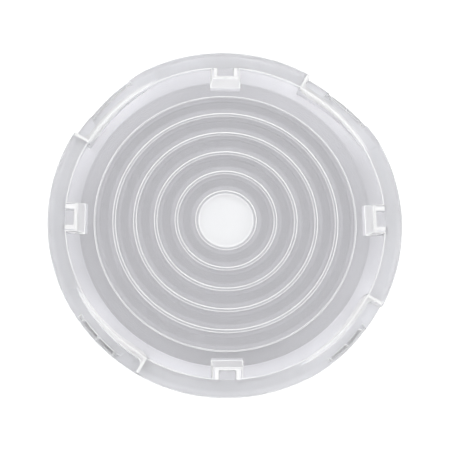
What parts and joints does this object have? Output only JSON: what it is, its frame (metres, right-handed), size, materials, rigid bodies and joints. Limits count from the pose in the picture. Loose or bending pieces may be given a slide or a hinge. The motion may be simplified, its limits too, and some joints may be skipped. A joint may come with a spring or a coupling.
{
  "type": "led high bay lens",
  "caption": "Round clear moulded lens with concentric annular lens rings in a recessed dish, a flat flange, a skirt and twist-on ramps at its rim.",
  "frame": {"origin": "middle of the skirt's seat, on the optical axis, at the lowest level of the lens", "axes": "+Z along the optical axis, towards the side that the light leaves; +X and +Y through two of the noses"},
  "size_m": [0.27, 0.27, 0.0144],
  "materials": {
    "lens": "clear injection moulded polycarbonate, polished window and rings, finely textured flange and skirt"
  },
  "bodies": {
    "root": {"lens": "lens"}
  },
  "joints": []
}
